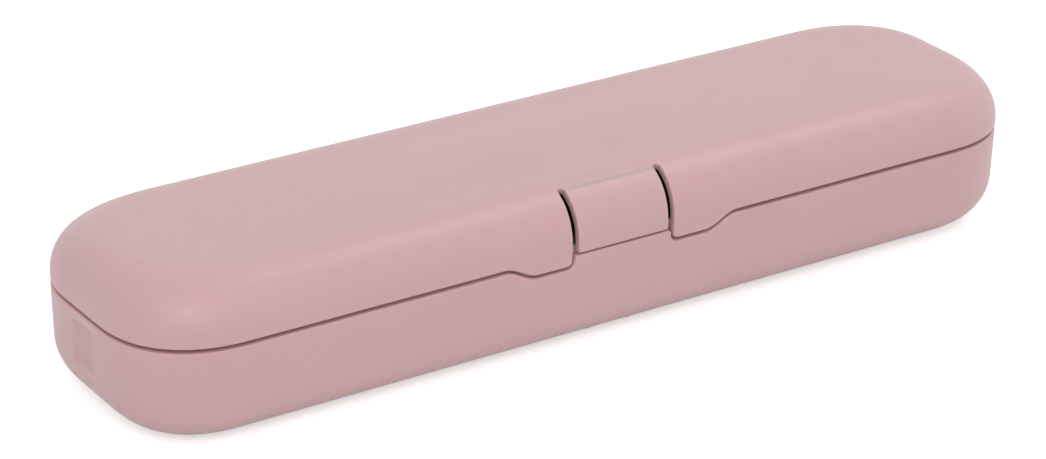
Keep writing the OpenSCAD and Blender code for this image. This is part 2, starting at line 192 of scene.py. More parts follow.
class InsideSizes(bpy.types.PropertyGroup):
    """Sizes of the pads, of the ribs in the lid and of the posts in the base."""
    trough_y: length("Trough place", "Distance of the trough's axis behind the middle", 7.6)
    trough_z: length("Trough height", "Height of the trough's axis", 17.7)
    pad_x: length("Pad place", "Distance of the pads from the middle", 50)
    pad_length: length("Pad length", "Length of each pad along the case", 8)
    pad_round: length("Pad rounding", "Rounding of the pads' edges", 0.25)
    groove_depth: length("Groove depth", "Depth of the grip grooves across the pads", 0.25)
    grooves: IntProperty(name="Grooves", description="Grip grooves on each pad", default=7)
    trough_pad_out: length("Trough pad, outside", "Outer radius of the trough's pads", 13.9)
    trough_pad_in: length("Trough pad, inside", "Inner radius of the trough's pads", 13)
    trough_pad_end: length("Trough pad ends", "Depth of the pads' ends below the trough's axis", 4)
    lid_pad_out: length("Lid pad, outside", "Outer radius of the lid's pads", 15.1)
    lid_pad_in: length("Lid pad, inside", "Inner radius of the lid's pads", 13.9)
    rib_radius: length("Rib hollow", "Radius of the hollow in the lid's ribs", 15.2)
    rib_width: length("Rib width", "Width of the lid's ribs", 18)
    rib_thickness: length("Rib thickness", "Thickness of the lid's ribs", 1.5)
    rib_round: length("Rib rounding", "Rounding of the ribs' edges", 0.1)
    post_radius: length("Post radius", "Radius of the posts under the tray", 2)
    post_top: length("Post top", "Height of the posts' upper ends", 18.8)
    post_round: length("Post rounding", "Rounding of the posts' upper edges", 0.3)
    post_flare: length("Post flare", "Radius of the posts' flare into the floor", 0.8)
    post_sink: length("Post sink", "How far the posts run into the floor", 0.3)
    end_post_x: length("End posts", "Distance of the end posts from the middle", 99)
    front_post_x: length("Front posts", "Distance of the front posts from the middle", 5)
    front_post_y: length("Front posts, depth", "Place of the front posts towards the front", -20)


class Finishes(bpy.types.PropertyGroup):
    """Colours of the materials."""
    shell: colour("Shell", "Colour of the base, lid and latch tab", "#CDA8AA")
    shell_deep: colour("Shell, deeper", "Colour of the shell's faint darker clouds", "#C9A4A6")
    tray: colour("Tray", "Colour of the inner tray", "#DCC4C4")
    pad: colour("Pads", "Colour of the soft pads", "#EDE8E5")
    steel: colour("Steel", "Colour of the hinge pins", "#C3C5C9")
    floor: colour("Floor", "Colour of the floor", "#F4F4F4")


def case_sizes():
    return bpy.context.scene.case_sizes


def latch_sizes():
    return bpy.context.scene.latch_sizes


def hinge_sizes():
    return bpy.context.scene.hinge_sizes


def inside_sizes():
    return bpy.context.scene.inside_sizes


def finishes():
    return bpy.context.scene.finishes


# Plan of the case: columns of the shells' meshes, counter-clockwise

# Half the length of the core, the middle of the long sides, where the columns keep their places
CORE = 30 * MM
# Steps around a corner, across an end wall, along the rest of half a long side, and along the
# core at the back and at the base's front
CORNER_STEPS = 28
END_STEPS = 30
SIDE_STEPS = 6
BACK_STEPS = 6
FRONT_STEPS = 30
# Steps along the lid's front: over half the latch tab, and from a slit to the core's end
TAB_STEPS = 8
BESIDE_STEPS = 12
# Steps around an ear's corner, along its flat edge and along its run-out, and around the
# base's corners beside the tab
EAR_STEPS = (6, 4, 16)
NOTCH_STEPS = 5
# Steps over the base's rounded bottom edge, outside and inside
FOOT_STEPS = 18
INNER_STEPS = 9
# Distance between the rows on the base's wall, and the least room between them and the rim
ROW_STEP = 0.5 * MM
RIM_ROOM = 0.6 * MM
# Rings of the underside, of the lid's upright wall and of its crown, as shares of the whole
UNDERSIDE_SHARES = (0.1, 0.5, 0.8, 1.0)
WALL_SHARES = (0, 0.75)
CROWN_SHARES = (0.95, 0.88, 0.8, 0.7, 0.6, 0.5, 0.4, 0.3, 0.2, 0.1, 0.03)
# Rows from the shoulder's foot to the tab's root, and from the slits' ends to the crown
ROOT_ROWS = 22
TOP_ROWS = 9
# Steps along an eighth of a slit's round end, and the distance over which the columns beside it
# bend towards it
SLIT_TURNS = 4
SLIT_FADE = 4 * MM
# How much of its inset a ring of the lid takes off its corners' reach across the case
CORNER_LOSS = 0.5
# Steps around a full circle, along an arc of a knuckle or a rib, over each rounding of a post,
# along a pad, and over one of its grooves
CIRCLE_STEPS = 32
ARC_STEPS = 24
POST_STEPS = 4
PAD_STEPS = 48
GROOVE_STEPS = 12


def quarter_turn(steps):
    """Angles from 0 to 90 degrees in even steps."""
    return np.linspace(0, math.pi / 2, steps + 1)


def full_turn():
    """Angles around a circle, without the last one, which is the first again."""
    return np.linspace(0, 2 * math.pi, CIRCLE_STEPS + 1)[:-1]


def side_columns(side_y, xs):
    """Columns on a long straight side; those within the core keep their distance from the middle."""
    half_flat = case_sizes().case_length / 2 - case_sizes().reach_x
    columns = []
    for x in xs:
        share = max(0.0, (abs(x) - CORE) / (half_flat - CORE))
        sign = math.copysign(1, x)
        core = x if abs(x) <= CORE else sign * CORE * (1 - share)
        columns.append([core, sign * share, 0, side_y, side_y])
    return columns


def corner_columns(side_x, side_y, rising):
    """Columns of a superellipse corner, from the end wall to the long side where it is rising."""
    power = 2 / case_sizes().corner_power
    columns = []
    for i in range(CORNER_STEPS + 1):
        angle = math.pi / 2 * (i if rising else CORNER_STEPS - i) / CORNER_STEPS
        across = max(0.0, math.cos(angle)) ** power
        along = math.sin(angle) ** power
        columns.append([0, side_x, side_x * across, side_y, side_y * along])
    return columns


def end_columns(side_x, shares):
    """Columns on the short straight part of an end wall."""
    return [[0, side_x, side_x, share, 0] for share in shares]


def plan_columns(front_core):
    """All columns, and the place of the front's core columns among them."""
    half_flat = case_sizes().case_length / 2 - case_sizes().reach_x
    outer = np.linspace(CORE, half_flat, SIDE_STEPS + 1)[1:-1]
    plain_core = np.linspace(-CORE, CORE, BACK_STEPS + 1)
    back = np.concatenate([-outer[::-1], plain_core, outer])[::-1]
    end_shares = np.linspace(-1, 1, END_STEPS + 1)[1:-1]
    columns = corner_columns(1, 1, True)
    columns += side_columns(1, back)
    columns += corner_columns(-1, 1, False)
    columns += end_columns(-1, end_shares[::-1])
    columns += corner_columns(-1, -1, True)
    columns += side_columns(-1, -outer[::-1])
    start = len(columns)
    columns += side_columns(-1, front_core)
    stop = len(columns)
    columns += side_columns(-1, outer)
    columns += corner_columns(1, -1, False)
    columns += end_columns(1, end_shares)
    return np.array(columns), slice(start, stop)


def ring(columns, half_x, half_y, reach_x, reach_y, z, scale=1.0):
    """Points of the columns on one ring of the plan."""
    core, flat_x, round_x, flat_y, round_y = columns.T
    x = scale * core + (half_x - reach_x) * flat_x + reach_x * round_x
    y = (half_y - reach_y) * flat_y + reach_y * round_y
    return np.column_stack([x, y, np.broadcast_to(z, x.shape)])


def base_ring(columns, inset, z):
    """Ring of the base: its corners get tighter as it moves in."""
    case = case_sizes()
    drawn = inset + case.draft * (1 - np.minimum(z, case.parting_height) / case.parting_height)
    return ring(
        columns, case.case_length / 2 - drawn, case.case_width / 2 - drawn,
        case.reach_x - drawn, case.reach_y - drawn, z
    )


def lid_ring(columns, inset, z):
    """Ring of the lid: its corners stay rounder as it moves in."""
    case = case_sizes()
    return ring(
        columns, case.case_length / 2 - inset, case.case_width / 2 - inset,
        case.reach_x, case.reach_y - CORNER_LOSS * inset, z
    )


def crown_ring(columns, share, depth):
    """Ring of the lid's top at a share of the shoulder's last ring."""
    case = case_sizes()
    top = case.case_height - case.crown - depth
    return ring(
        columns,
        share * (case.case_length / 2 - case.shoulder_width),
        share * (case.case_width / 2 - case.shoulder_width),
        share * case.reach_x,
        share * (case.reach_y - CORNER_LOSS * case.shoulder_width),
        top + case.crown * (1 - share * share) ** 2,
        share
    )


def shoulder_at(angle, depth):
    """Inset and height of the shoulder's profile, below the skin by the given depth."""
    case = case_sizes()
    power = 2 / case.shoulder_power
    foot = case.case_height - case.crown - case.shoulder_height
    across = np.maximum(np.cos(angle), 0) ** power
    up = np.sin(angle) ** power
    inset = case.shoulder_width - (case.shoulder_width - depth) * across
    return inset, foot + (case.shoulder_height - depth) * up


def ear_edge(grow):
    """Lower edge of the right ear, seen from the front, grown by a gap: x and z."""
    latch = latch_sizes()
    case = case_sizes()
    slit_end = latch.tab_width / 2 + latch.slit_width
    rim = case.parting_height + case.parting_gap / 2
    radius = latch.ear_round + grow
    corner_steps, flat_steps, run_steps = EAR_STEPS
    points = []
    for angle in quarter_turn(corner_steps):
        points.append([
            slit_end - grow + radius * (1 - math.cos(angle)),
            rim - latch.ear_drop + latch.ear_round - radius * math.sin(angle)
        ])
    flat_start = points[-1][0]
    flat_end = slit_end + latch.ear_flat
    for x in np.linspace(flat_start, flat_end, flat_steps + 1)[1:-1]:
        points.append([x, rim - grow - latch.ear_drop])
    for share in np.linspace(0, 1, run_steps + 1):
        drop = latch.ear_drop * (1 + math.cos(math.pi * share)) / 2
        points.append([flat_end + latch.ear_run * share, rim - grow - drop])
    return np.array(points)


def mirrored(points):
    """The points of the right half, led by their mirror image on the left."""
    left = points[::-1].copy()
    left[:, 0] *= -1
    return np.concatenate([left, points])


# Meshes

# What stands a flat outline upright, by the axis that its thickness then lies along
UPRIGHT = {
    "X": Matrix(((0, 0, 1, 0), (1, 0, 0, 0), (0, 1, 0, 0), (0, 0, 0, 1))),
    "Y": Matrix(((1, 0, 0, 0), (0, 0, -1, 0), (0, 1, 0, 0), (0, 0, 0, 1))),
}


def grid_quads(row_count, column_count, keep):
    """Quads of a closed grid, outwards where the columns run counter-clockwise and the rows up."""
    quads = []
    for row in range(row_count - 1):
        for i in range(column_count):
            if keep(row, i):
                j = (i + 1) % column_count
                a, b = row * column_count, (row + 1) * column_count
                quads.append((a + i, a + j, b + j, b + i))
    return quads


def pole_fan(row_start, column_count, pole, below):
    """Triangles from one ring to a pole; below turns them to face down."""
    fan = []
    for i in range(column_count):
        j = (i + 1) % column_count
        fan.append((row_start + j, row_start + i, pole) if below
                   else (row_start + i, row_start + j, pole))
    return fan


def walled(outer, inner, faces):
    """Close an open skin with its inner wall: all points, all faces and the open edges."""
    count = len(outer)
    directed = set()
    for face in faces:
        directed.update(zip(face, face[1:] + face[:1]))
    open_edges = [(a, b) for a, b in directed if (b, a) not in directed]
    inside = [tuple(i + count for i in reversed(face)) for face in faces]
    sides = [(b, a, a + count, b + count) for a, b in sorted(open_edges)]
    return np.concatenate([outer, inner]), faces + inside + sides, open_edges


def smooth_mesh(name, points, faces, rounded):
    """Mesh with smooth faces; rounded maps an edge's two points, in order, to its bevel weight."""
    form = bmesh.new()
    vertices = [form.verts.new(p) for p in points]
    for face in faces:
        form.faces.new([vertices[i] for i in face]).smooth = True
    form.normal_update()
    weight = form.edges.layers.float.new("bevel_weight_edge")
    form.verts.index_update()
    for edge in form.edges:
        key = tuple(sorted(v.index for v in edge.verts))
        edge[weight] = rounded.get(key, 0)
        if not edge[weight] and edge.calc_face_angle(0) > SHARP_ANGLE:
            edge.smooth = False
    loose = [v for v in form.verts if not v.link_faces]
    bmesh.ops.delete(form, geom=loose, context="VERTS")
    mesh = bpy.data.meshes.new(name)
    form.to_mesh(mesh)
    form.free()
    return mesh


def plain_copy(piece):
    """Replace a piece's data by its evaluated mesh, and take its modifiers off."""
    graph = bpy.context.evaluated_depsgraph_get()
    mesh = bpy.data.meshes.new_from_object(
        piece.evaluated_get(graph), preserve_all_data_layers=True, depsgraph=graph
    )
    mesh.name = piece.name
    piece.modifiers.clear()
    piece.data = mesh
    return piece


def new_piece(name, data):
    """New object at the origin of the scene."""
    piece = bpy.data.objects.new(name, data)
    bpy.context.scene.collection.objects.link(piece)
    return piece


def rounded_piece(name, mesh, width):
    """Object whose weighted edges are rounded."""
    piece = new_piece(name, mesh)
    bevel = piece.modifiers.new("rounded edges", "BEVEL")
    bevel.width = width
    bevel.segments = 3
    bevel.limit_method = "WEIGHT"
    bevel.use_clamp_overlap = False
    bevel.harden_normals = True
    return plain_copy(piece)


def extruded(name, outlines, thickness, rounding, across):
    """Mesh of flat outlines given a thickness and rounded edges.

    across names the axis of the thickness: for "X" an outline is y and z, for "Y" it is x and z.
    The first outline is the outer one and the others are holes.
    """
    curve = bpy.data.curves.new(name, "CURVE")
    curve.dimensions = "2D"
    curve.fill_mode = "BOTH"
    curve.extrude = thickness / 2 - rounding
    curve.bevel_depth = rounding
    curve.bevel_resolution = 2
    curve.offset = -rounding
    for outline in outlines:
        spline = curve.splines.new("POLY")
        spline.points.add(len(outline) - 1)
        for point, (u, v) in zip(spline.points, outline):
            point.co = (u, v, 0, 1)
        spline.use_cyclic_u = True
    holder = new_piece(name, curve)
    graph = bpy.context.evaluated_depsgraph_get()
    mesh = bpy.data.meshes.new_from_object(holder.evaluated_get(graph), depsgraph=graph)
    bpy.data.objects.remove(holder)
    bpy.data.curves.remove(curve)
    mesh.transform(UPRIGHT[across])
    form = bmesh.new()
    form.from_mesh(mesh)
    bmesh.ops.remove_doubles(form, verts=form.verts, dist=0.0001 * MM)
    bmesh.ops.recalc_face_normals(form, faces=form.faces)
    form.to_mesh(mesh)
    form.free()
    mesh.shade_smooth()
    mesh.set_sharp_from_angle(angle=math.radians(40))
    return mesh


def add_node(tree, kind, inputs=None, **settings):
    """Add a node: settings are its own, and an input is a value or another node's output."""
    node = tree.nodes.new(kind)
    for key, value in settings.items():
        setattr(node, key, value)
    for key, value in (inputs or {}).items():
        if isinstance(value, bpy.types.NodeSocket):
            tree.links.new(value, node.inputs[key])
        else:
            node.inputs[key].default_value = value
    return node


def row_tree():
    """Geometry nodes that repeat a form in a row of small rows, both centred on the middle."""
    tree = bpy.data.node_groups.get("rows of a form")
    if tree:
        return tree
    tree = bpy.data.node_groups.new("rows of a form", "GeometryNodeTree")
    tree.interface.new_socket("Form", in_out="INPUT", socket_type="NodeSocketGeometry")
    for name in ("Rows", "Row distance", "Forms in a row", "Form distance"):
        kind = "NodeSocketInt" if name in ("Rows", "Forms in a row") else "NodeSocketFloat"
        tree.interface.new_socket(name, in_out="INPUT", socket_type=kind)
    tree.interface.new_socket("Finish", in_out="INPUT", socket_type="NodeSocketMaterial")
    tree.interface.new_socket("Forms", in_out="OUTPUT", socket_type="NodeSocketGeometry")
    given = tree.nodes.new("NodeGroupInput").outputs

    def centred_line(count, distance):
        gaps = add_node(tree, "ShaderNodeMath", {0: count, 1: 1.0}, operation="SUBTRACT")
        half = add_node(tree, "ShaderNodeMath", {0: gaps.outputs[0], 1: -0.5},
                        operation="MULTIPLY")
        start = add_node(tree, "ShaderNodeMath", {0: half.outputs[0], 1: distance},
                         operation="MULTIPLY")
        first = add_node(tree, "ShaderNodeCombineXYZ", {"X": start.outputs[0]})
        step = add_node(tree, "ShaderNodeCombineXYZ", {"X": distance})
        return add_node(tree, "GeometryNodeMeshLine", {
            "Count": count, "Start Location": first.outputs[0], "Offset": step.outputs[0]
        })

    rows = centred_line(given["Rows"], given["Row distance"])
    forms = centred_line(given["Forms in a row"], given["Form distance"])
    spots = add_node(tree, "GeometryNodeInstanceOnPoints", {
        "Points": rows.outputs[0], "Instance": forms.outputs[0]
    })
    points = add_node(tree, "GeometryNodeRealizeInstances", {0: spots.outputs[0]})
    copies = add_node(tree, "GeometryNodeInstanceOnPoints", {
        "Points": points.outputs[0], "Instance": given["Form"]
    })
    real = add_node(tree, "GeometryNodeRealizeInstances", {0: copies.outputs[0]})
    dressed = add_node(tree, "GeometryNodeSetMaterial", {
        "Geometry": real.outputs[0], "Material": given["Finish"]
    })
    add_node(tree, "NodeGroupOutput", {0: dressed.outputs[0]})
    return tree


def repeated(name, mesh, rows, row_distance, forms, form_distance, finish):
    """Piece made of a mesh repeated along X by the row tree."""
    piece = new_piece(name, mesh)
    tree = row_tree()
    modifier = piece.modifiers.new("rows", "NODES")
    modifier.node_group = tree
    values = {
        "Rows": rows, "Row distance": row_distance, "Forms in a row": forms,
        "Form distance": form_distance, "Finish": finish
    }
    for socket in tree.interface.items_tree:
        if socket.in_out == "INPUT" and socket.name in values:
            modifier[socket.identifier] = values[socket.name]
    return plain_copy(piece)


def dress(piece, finish):
    """Give a piece one material."""
    piece.data.materials.clear()
    piece.data.materials.append(finish)


# Materials

def material(name):
    """Material with its tree, shader and object coordinates, which are None when it was there."""
    made = bpy.data.materials.get(name)
    if made:
        return made, None, None, None
    made = bpy.data.materials.new(name)
    made.use_nodes = True
    tree = made.node_tree
    tree.nodes.clear()
    place = tree.nodes.new("ShaderNodeTexCoord").outputs["Object"]
    shader = tree.nodes.new("ShaderNodeBsdfPrincipled")
    add_node(tree, "ShaderNodeOutputMaterial", {"Surface": shader.outputs[0]})
    return made, tree, shader, place


def moulded_surface(tree, shader, place, colours, rough, grain, height):
    """Faint clouds of colour and a fine even grain, as a textured mould leaves them.

    grain is the distance between the texture's bumps and height their depth, in metres.
    """
    clouds = add_node(tree, "ShaderNodeTexNoise", {
        "Vector": place, "Scale": 1 / CLOUD_SIZE, "Detail": 3.0, "Roughness": 0.5
    })
    mix = add_node(tree, "ShaderNodeMix", {
        "Factor": clouds.outputs[0], 6: colours[0], 7: colours[1]
    }, data_type="RGBA")
    tree.links.new(mix.outputs[2], shader.inputs["Base Color"])
    grains = add_node(tree, "ShaderNodeTexNoise", {
        "Vector": place, "Scale": 1 / grain, "Detail": 2.0, "Roughness": 0.6
    })
    spread = add_node(tree, "ShaderNodeMapRange", {
        "Value": grains.outputs[0], "To Min": rough[0], "To Max": rough[1]
    })
    tree.links.new(spread.outputs[0], shader.inputs["Roughness"])
    bump = add_node(tree, "ShaderNodeBump", {
        "Height": grains.outputs[0], "Distance": height, "Strength": 1.0
    })
    tree.links.new(bump.outputs[0], shader.inputs["Normal"])


def shell_plastic():
    """Polypropylene moulded in a finely textured mould: satin, with no clear reflections.

    The resin is slightly see-through, so light spreads in it and tints the sides of the slits.
    The real grain is about 0.1 mm; it is drawn at 0.6 mm, so that the render shows a trace of it.
    """
    made, tree, shader, place = material("moulded_polypropylene_rose")
    if tree:
        colours = [finishes().shell, finishes().shell_deep]
        moulded_surface(tree, shader, place, colours, (0.38, 0.46), 0.6 * MM, 0.012 * MM)
        shader.inputs["IOR"].default_value = 1.5
        shader.inputs["Sheen Weight"].default_value = 0.15
        shader.inputs["Sheen Roughness"].default_value = 0.5
        shader.inputs["Subsurface Weight"].default_value = 0.6
        shader.inputs["Subsurface Radius"].default_value = (1.0, 0.36, 0.34)
        shader.inputs["Subsurface Scale"].default_value = 3 * MM
    return made


def tray_plastic():
    """Polystyrene, thinly moulded and a little smoother than the shells."""
    made, tree, shader, place = material("moulded_polystyrene_pale_rose")
    if tree:
        colours = [finishes().tray, finishes().tray]
        moulded_surface(tree, shader, place, colours, (0.42, 0.52), 0.8 * MM, 0.008 * MM)
        shader.inputs["IOR"].default_value = 1.59
    return made


def pad_silicone():
    """Silicone rubber, moulded: dull, soft to the eye and slightly see-through at its edges."""
    made, tree, shader, place = material("moulded_silicone_rubber")
    if tree:
        colours = [finishes().pad, finishes().pad]
        moulded_surface(tree, shader, place, colours, (0.62, 0.72), 0.4 * MM, 0.01 * MM)
        shader.inputs["IOR"].default_value = 1.41
        shader.inputs["Subsurface Weight"].default_value = 0.15
        shader.inputs["Subsurface Scale"].default_value = 1.5 * MM
    return made


def pin_steel():
    """Stainless steel wire, drawn and cut: fine lines run along the pin."""
    made, tree, shader, place = material("drawn_stainless_steel")
    if tree:
        shader.inputs["Metallic"].default_value = 1.0
        stretched = add_node(tree, "ShaderNodeMapping", {"Vector": place,
                                                         "Scale": (0.02, 1.0, 1.0)})
        lines = add_node(tree, "ShaderNodeTexNoise", {
            "Vector": stretched.outputs[0], "Scale": 1 / (0.15 * MM), "Detail": 2.0
        })
        spread = add_node(tree, "ShaderNodeMapRange", {
            "Value": lines.outputs[0], "To Min": 0.22, "To Max": 0.38
        })
        tree.links.new(spread.outputs[0], shader.inputs["Roughness"])
        shader.inputs["Base Color"].default_value = finishes().steel
    return made


# Operators

class CASE_OT_base(bpy.types.Operator):
    """Build the moulded base with its lip, end hollows and the notches for the lid's ears"""
    bl_idname = "travel_case.base"
    bl_label = "Base"

    def execute(self, context):
        case = case_sizes()
        rim = case.parting_height - case.parting_gap / 2
        lip_inset = case.lid_wall + case.lip_clearance
        lip_top = case.parting_height + case.lip_height
        columns, front = plan_columns(np.linspace(-CORE, CORE, FRONT_STEPS + 1))
        count = len(columns)
        left, right = front.start, front.stop - 1
        path = self.notch_path(rim)
        rows = self.underside_rows(columns)
        heights = np.arange(case.bottom_height + ROW_STEP, rim - RIM_ROOM, ROW_STEP)
        plain_row = len(rows) - 1 + int(np.sum(heights < path[:, 1].min() - ROW_STEP))
        rows += [base_ring(columns, 0.0, z) for z in heights]
        rim_row = len(rows)
        rows.append(base_ring(columns, 0.0, rim))
        rows.append(lid_ring(columns, lip_inset, rim))
        rows.append(lid_ring(columns, lip_inset, lip_top))
        rows.append(lid_ring(columns, case.base_wall, lip_top))
        rows += self.inner_rows(columns)
        points = np.concatenate(rows)
        self.press_hollows(points[:rim_row * count])
        faces = grid_quads(
            len(rows), count,
            lambda row, i: not (plain_row <= row < rim_row + 2 and left <= i < right)
        )
        faces += pole_fan(0, count, len(points), True)
        faces += pole_fan((len(rows) - 1) * count, count, len(points) + 1, False)
        front_y = -case.case_width / 2
        loose_path = path[1:-1]
        outside = [
            [x, front_y + case.draft * (1 - z / case.parting_height), z] for x, z in loose_path
        ]
        inside = [[x, front_y + lip_inset, z] for x, z in loose_path]
        poles = [[0, 0, 0], [0, 0, case.base_floor]]
        first = len(points) + len(poles)
        outer = [rim_row * count + left, *range(first, first + len(outside)),
                 rim_row * count + right]
        first += len(outside)
        inner = [(rim_row + 1) * count + left, *range(first, first + len(inside)),
                 (rim_row + 1) * count + right]
        points = np.concatenate([points, poles, outside, inside])

        def across(row):
            return [row * count + i for i in range(left, right + 1)]

        # The flat front wall, the ledge along its edge and the lip's flat outer face
        up = [row * count + right for row in range(plain_row + 1, rim_row)]
        down = [row * count + left for row in range(rim_row - 1, plain_row, -1)]
        faces.append(tuple(across(plain_row) + up + outer[::-1] + down))
        faces += [(outer[i], outer[i + 1], inner[i + 1], inner[i]) for i in range(len(outer) - 1)]
        faces.append(tuple(inner + across(rim_row + 2)[::-1]))
        rounded = {tuple(sorted(edge)): 1.0 for edge in zip(outer, outer[1:])}
        lip_weight = case.edge_round / case.base_round / 2
        for row, weight in ((rim_row, 1.0), (rim_row + 2, lip_weight), (rim_row + 3, lip_weight)):
            for i in range(count):
                if row > rim_row or not left <= i < right:
                    a, b = row * count + i, row * count + (i + 1) % count
                    rounded[min(a, b), max(a, b)] = weight
        mesh = smooth_mesh("base_moulding", points, faces, rounded)
        piece = rounded_piece("base_moulding", mesh, case.base_round)
        dress(piece, shell_plastic())
        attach(piece, "base")
        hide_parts("base_shell")
        return {"FINISHED"}

    def notch_path(self, rim):
        """Upper edge of the base's front wall, with a notch for each ear: x and z."""
        latch = latch_sizes()
        ear = ear_edge(latch.ear_gap)
        bend = [
            [ear[0][0] - latch.notch_round * (1 - math.sin(a)),
             rim - latch.notch_round * (1 - math.cos(a))]
            for a in quarter_turn(NOTCH_STEPS)
        ]
        return mirrored(np.concatenate([bend, ear, [[CORE, rim]]]))

    def underside_rows(self, columns):
        """Rings of the flat underside and of the rounded bottom edge."""
        case = case_sizes()
        flat = base_ring(columns, case.bottom_width, 0.0)
        rows = [flat * [share, share, 1] for share in UNDERSIDE_SHARES]
        for angle in quarter_turn(FOOT_STEPS)[1:]:
            rows.append(base_ring(
                columns,
                case.bottom_width * (1 - math.sin(angle)),
                case.bottom_height * (1 - math.cos(angle))
            ))
        return rows

    def inner_rows(self, columns):
        """Rings of the base's inside, from the top of its rounded bottom edge down to the floor."""
        case = case_sizes()
        rows = []
        for angle in quarter_turn(INNER_STEPS)[::-1]:
            inset = case.bottom_width - (case.bottom_width - case.base_wall) * math.sin(angle)
            z = case.bottom_height - (case.bottom_height - case.base_floor) * math.cos(angle)
            rows.append(base_ring(columns, inset, z))
        return rows

    def press_hollows(self, points):
        """Press a shallow upright hollow into each end wall, in place."""
        case = case_sizes()
        across = np.abs(points[:, 1]) / (case.hollow_width / 2)
        middle = (case.hollow_bottom + case.hollow_top) / 2
        along = np.abs(points[:, 2] - middle) / ((case.hollow_top - case.hollow_bottom) / 2)
        on_end = np.abs(points[:, 0]) > case.case_length / 2 - case.bottom_width
        depth = case.hollow_depth * np.clip(1 - across ** 2, 0, 1)
        depth *= np.clip((1 - along) * case.hollow_rise, 0, 1)
        points[:, 0] -= np.sign(points[:, 0]) * np.where(on_end, depth, 0)


class CASE_OT_lid(bpy.types.Operator):
    """Build the domed lid with its two ears and the slits beside the latch tab"""
    bl_idname = "travel_case.lid"
    bl_label = "Lid"

    def execute(self, context):
        case = case_sizes()
        latch = latch_sizes()
        slit_side = latch.tab_width / 2
        slit_end = slit_side + latch.slit_width
        right_half = np.concatenate([
            np.linspace(0, slit_side, TAB_STEPS + 1)[1:],
            self.slit_columns(),
            np.linspace(slit_end, CORE, BESIDE_STEPS + 1)
        ])
        columns, front = plan_columns(np.concatenate([-right_half[::-1], [0], right_half]))
        count = len(columns)
        left, right = front.start, front.stop - 1
        x = np.full(count, np.inf)
        x[front] = np.abs(columns[front, 0])
        outside, row_count = self.skin(columns, x, 0.0)
        inside = self.skin(columns, x, case.lid_wall)[0]
        foot_row = len(WALL_SHARES)
        root_row = foot_row + ROOT_ROWS
        corner_row = root_row + SLIT_TURNS
        in_opening = x <= slit_end + TINY
        in_slit = in_opening & (x >= slit_side - TINY)

        def keep(row, i):
            j = (i + 1) % count
            if row < foot_row:
                return not left <= i < right
            if row < root_row:
                return not (in_opening[i] and in_opening[j])
            return row >= corner_row or not (in_slit[i] and in_slit[j])

        faces = grid_quads(row_count, count, keep)
        faces += pole_fan((row_count - 1) * count, count, row_count * count, False)
        # The flat front wall on each side of the tab, down to the ear's edge
        ear_points = len(ear_edge(0))
        first = row_count * count + 1
        left_ear = list(range(first, first + ear_points))
        right_ear = list(range(first + ear_points, first + 2 * ear_points))
        foot = [foot_row * count + i for i in range(left, right + 1)]
        wall = [i for i, p in enumerate(foot) if x[p % count] >= slit_end - TINY]
        half = len(wall) // 2
        left_foot = [foot[i] for i in wall[:half]]
        right_foot = [foot[i] for i in wall[half:]]
        faces.append(tuple([left] + left_ear + left_foot[::-1] + [count + left]))
        faces.append(tuple(right_ear + [right, count + right] + right_foot[::-1]))
        points, faces, open_edges = walled(outside, inside, faces)
        at_rim = set(range(count)) | set(left_ear) | set(right_ear)
        at_root = {root_row * count + i for i in range(count) if x[i] <= slit_side + TINY}
        rounded = {}
        fine = case.edge_round / case.lid_round
        for a, b in open_edges:
            if not (a in at_root and b in at_root):
                low, high = min(a, b), max(a, b)
                rounded[low, high] = 1.0 if a in at_rim and b in at_rim else fine
                rounded[low + len(outside), high + len(outside)] = fine / 2
        mesh = smooth_mesh("lid_moulding", points, faces, rounded)
        piece = rounded_piece("lid_moulding", mesh, case.lid_round)
        dress(piece, shell_plastic())
        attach(piece, "lid")
        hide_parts("lid_shell")
        return {"FINISHED"}

    def slit_columns(self):
        """Places of the columns that end at the right slit's round end, between its corners."""
        latch = latch_sizes()
        middle = (latch.tab_width + latch.slit_width) / 2
        turns = np.radians(np.linspace(135, 45, 2 * SLIT_TURNS + 1)[1:-1])
        return middle + latch.slit_width / 2 * np.cos(turns)

    def skin(self, columns, x, depth):
        """Points of the lid's skin below its surface by a depth, and the number of their rings.

        x is each column's distance from the middle. The pole and both ears' edges come last.
        """
        case = case_sizes()
        latch = latch_sizes()
        rim = case.parting_height + case.parting_gap / 2
        radius = latch.slit_width / 2
        middle = (latch.tab_width + latch.slit_width) / 2
        off = np.abs(x - middle)
        inside_slit = off < radius * math.cos(math.pi / 4) + TINY
        near = np.clip(1 - (off - radius) / SLIT_FADE, 0, 1)
        near[inside_slit | ~np.isfinite(x)] = 0
        core = columns[:, 0]
        towards = np.where(x < middle, 1, -1) * np.sign(core)
        wall_h = shoulder_at(0.0, depth)[1] - rim
        rows = [lid_ring(columns, depth, rim + share * wall_h) for share in WALL_SHARES]
        for share in np.linspace(0, 1, ROOT_ROWS + 1):
            rows.append(lid_ring(columns, *shoulder_at(latch.root_angle * share, depth)))
        bent = columns.copy()
        for step in range(1, SLIT_TURNS + 1):
            bow = math.pi / 4 * step / SLIT_TURNS
            bent[:, 0] = core + towards * near * radius * (1 - math.cos(bow))
            rise = np.full(len(x), math.sin(bow))
            if step == SLIT_TURNS:
                arc = np.sqrt(np.clip(1 - (off / radius) ** 2, 0, 1))
                rise = np.where(inside_slit, np.maximum(arc, rise), rise)
            angle = latch.root_angle + latch.slit_end_angle * rise
            rows.append(lid_ring(bent, *shoulder_at(angle, depth)))
        for share in np.linspace(0, 1, TOP_ROWS + 1)[1:]:
            rows.append(lid_ring(
                bent, *shoulder_at(angle + share * (math.pi / 2 - angle), depth)
            ))
        for share in CROWN_SHARES:
            rows.append(crown_ring(bent, share, depth))
        pole = [[0, 0, case.case_height - depth]]
        ears = [[u, depth - case.case_width / 2, z] for u, z in mirrored(ear_edge(0))]
        return np.concatenate(rows + [pole, ears]), len(rows)


